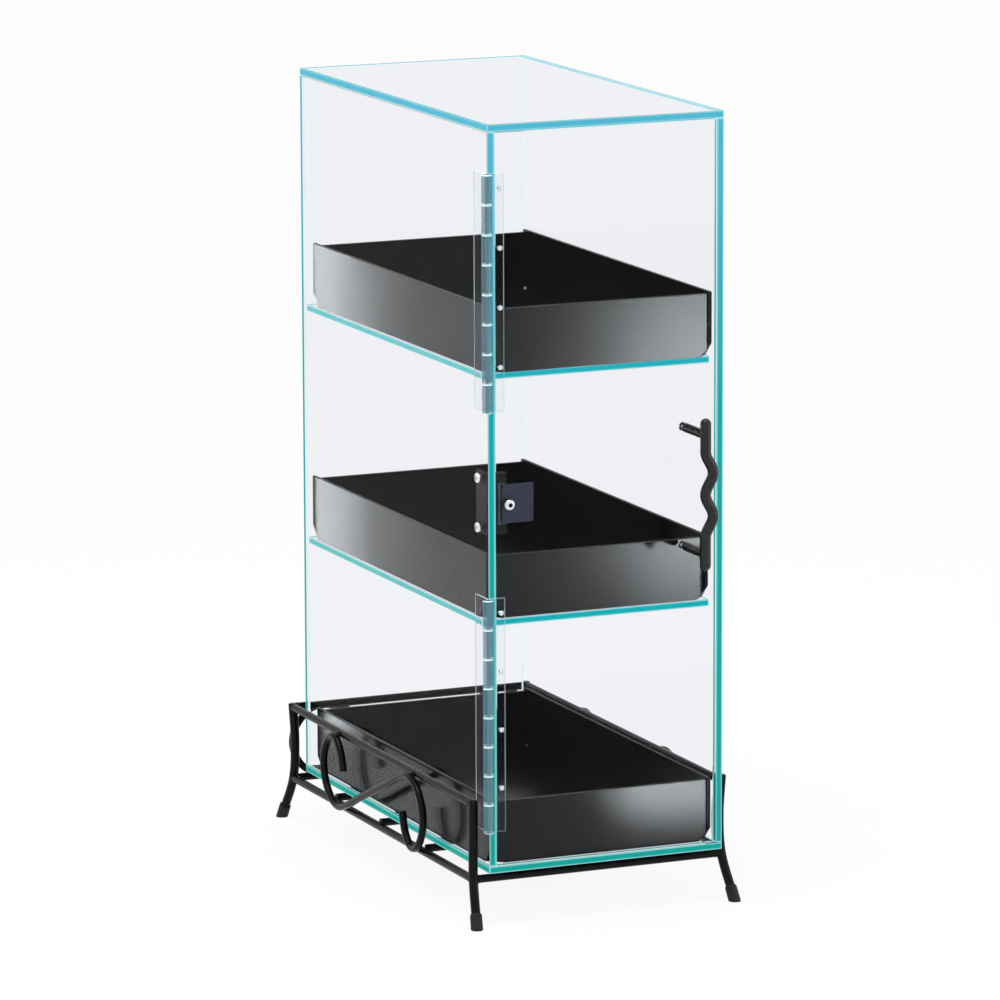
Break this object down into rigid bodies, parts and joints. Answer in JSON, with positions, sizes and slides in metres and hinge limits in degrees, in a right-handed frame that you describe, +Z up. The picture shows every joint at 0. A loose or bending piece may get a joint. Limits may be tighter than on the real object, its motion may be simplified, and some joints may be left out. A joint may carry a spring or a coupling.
{
  "type": "bread display case",
  "caption": "Tall clear acrylic bread display case with a hinged front door, shelves and loose black trays, standing in a black wire stand with scrolls.",
  "frame": {"origin": "middle of the footprint, on the surface that the feet stand on", "axes": "+Z up, -Y towards the door at the front, +X to the right as seen from the front"},
  "size_m": [0.2524, 0.495, 0.682],
  "materials": {
    "acrylic": "clear polished sheet with blue-green saw-cut edges",
    "hinge_plastic": "clear moulded plastic, slightly blue",
    "tray_sheet": "black folded sheet, semi-gloss",
    "stand_rod": "black gloss powder coat on round steel rod",
    "handle_metal": "satin black paint",
    "catch_plastic": "black moulded plastic",
    "strike_steel": "dark blued steel plate",
    "magnet_steel": "ground steel pole face",
    "screw_metal": "bright plated steel",
    "tip_rubber": "black matt rubber"
  },
  "bodies": {
    "case": {"left_panel": "acrylic", "right_panel": "acrylic", "back_panel": "acrylic", "top_panel": "acrylic", "bottom_panel": "acrylic", "lower_shelf": "acrylic", "upper_shelf": "acrylic", "lower_hinge_case_leaf": "hinge_plastic", "lower_hinge_pin": "hinge_plastic", "upper_hinge_case_leaf": "hinge_plastic", "upper_hinge_pin": "hinge_plastic", "catch_lower_screw": "screw_metal", "catch_upper_screw": "screw_metal", "catch_body": "catch_plastic", "catch_magnet": "magnet_steel", "front_left_leg": "stand_rod", "front_right_leg": "stand_rod", "back_left_leg": "stand_rod", "back_right_leg": "stand_rod", "front_left_tip": "tip_rubber", "front_right_tip": "tip_rubber", "back_left_tip": "tip_rubber", "back_right_tip": "tip_rubber", "left_top_rail": "stand_rod", "right_top_rail": "stand_rod", "back_top_rail": "stand_rod", "left_low_rail": "stand_rod", "right_low_rail": "stand_rod", "back_low_rail": "stand_rod", "front_low_rail": "stand_rod", "front_cross_bar": "stand_rod", "middle_cross_bar": "stand_rod", "back_cross_bar": "stand_rod", "left_scroll": "stand_rod", "right_scroll": "stand_rod", "back_scroll": "stand_rod"},
    "door": {"door_panel": "acrylic", "lower_hinge_door_leaf": "hinge_plastic", "lower_hinge_screw_1": "screw_metal", "lower_hinge_screw_2": "screw_metal", "lower_hinge_screw_3": "screw_metal", "lower_hinge_screw_4": "screw_metal", "upper_hinge_door_leaf": "hinge_plastic", "upper_hinge_screw_1": "screw_metal", "upper_hinge_screw_2": "screw_metal", "upper_hinge_screw_3": "screw_metal", "upper_hinge_screw_4": "screw_metal", "handle_bar": "handle_metal", "handle_lower_post": "handle_metal", "handle_upper_post": "handle_metal", "handle_lower_screw": "screw_metal", "handle_upper_screw": "screw_metal", "strike_plate": "strike_steel", "strike_screw": "screw_metal"},
    "lower_tray": {"lower_tray": "tray_sheet"},
    "middle_tray": {"middle_tray": "tray_sheet"},
    "upper_tray": {"upper_tray": "tray_sheet"}
  },
  "joints": [
    {"name": "door_hinge", "type": "hinge", "parent": "case", "child": "door", "pos_m": [-0.1106, -0.20772, 0.3645], "axis": [0, 0, -1], "range_deg": [0, 255]},
    {"name": "lower_tray_slide", "type": "slide", "parent": "case", "child": "lower_tray", "axis": [0, -1, 0], "range_m": [-0.0115, 0.0015]},
    {"name": "middle_tray_slide", "type": "slide", "parent": "case", "child": "middle_tray", "axis": [0, -1, 0], "range_m": [-0.0055, 0.0055]},
    {"name": "upper_tray_slide", "type": "slide", "parent": "case", "child": "upper_tray", "axis": [0, -1, 0], "range_m": [-0.0115, 0.0015]}
  ]
}
